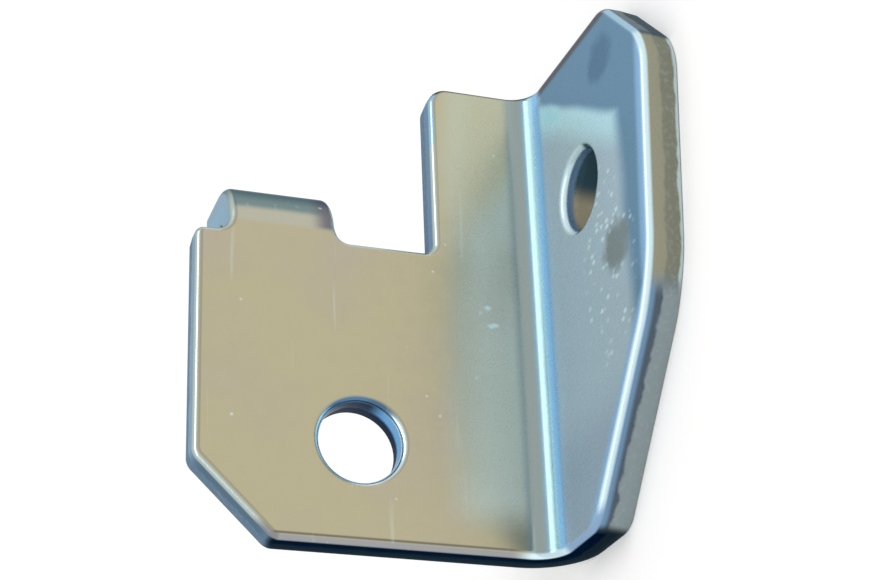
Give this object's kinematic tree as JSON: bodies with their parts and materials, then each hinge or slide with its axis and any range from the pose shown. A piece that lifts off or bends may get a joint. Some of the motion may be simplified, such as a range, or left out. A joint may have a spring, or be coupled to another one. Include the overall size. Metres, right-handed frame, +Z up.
{
  "type": "stamped metal bracket",
  "caption": "Thick stamped and folded steel angle bracket with a tapered flange, a notched plate, a folded lip and a bolt hole in each leg.",
  "frame": {"origin": "On the axis of the flange's bolt hole, at the flange's underside, the face that seats and that the bracket stands on.", "axes": "+Z up, out of the flange through its bolt hole; +X along the fold, from the chamfered foot to the square end of the plate; +Y to the back, from the plate's front face out of its back face, the way the lip is folded."},
  "size_m": [0.0397, 0.0296, 0.0306],
  "materials": {
    "zinc_plate": "bright zinc plate over pressed steel, faint yellow to blue tint, sheared edges left rough"
  },
  "bodies": {
    "root": {"bracket": "zinc_plate"}
  },
  "joints": []
}
